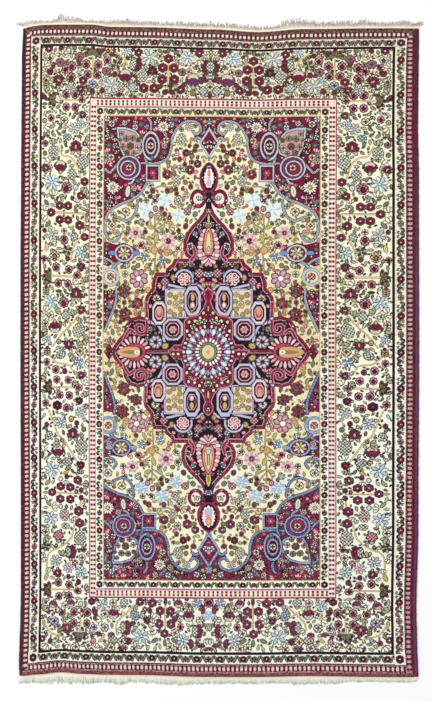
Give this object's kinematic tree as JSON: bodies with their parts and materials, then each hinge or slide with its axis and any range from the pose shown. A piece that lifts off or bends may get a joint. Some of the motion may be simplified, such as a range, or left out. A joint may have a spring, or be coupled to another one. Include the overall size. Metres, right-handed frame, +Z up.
{
  "type": "persian rug",
  "caption": "Flat hand-knotted floor rug with a floral medallion pattern, overcast side cords and a short uneven cotton fringe at each end.",
  "frame": {"origin": "bottom centre of the bounding box, on the floor", "axes": "+Z up out of the pile, +Y along the rug towards its upper end, +X across it"},
  "size_m": [1.3216, 2.203, 0.008],
  "materials": {
    "pile_wool": "sheared wool pile, matte",
    "selvedge_wool": "overcast wool yarn, matte",
    "fringe_cotton": "loose cotton warp ends, matte"
  },
  "bodies": {
    "root": {"rug_body": "pile_wool", "selvedge_left": "selvedge_wool", "selvedge_right": "selvedge_wool", "fringe_top": "fringe_cotton", "fringe_bottom": "fringe_cotton"}
  },
  "joints": []
}
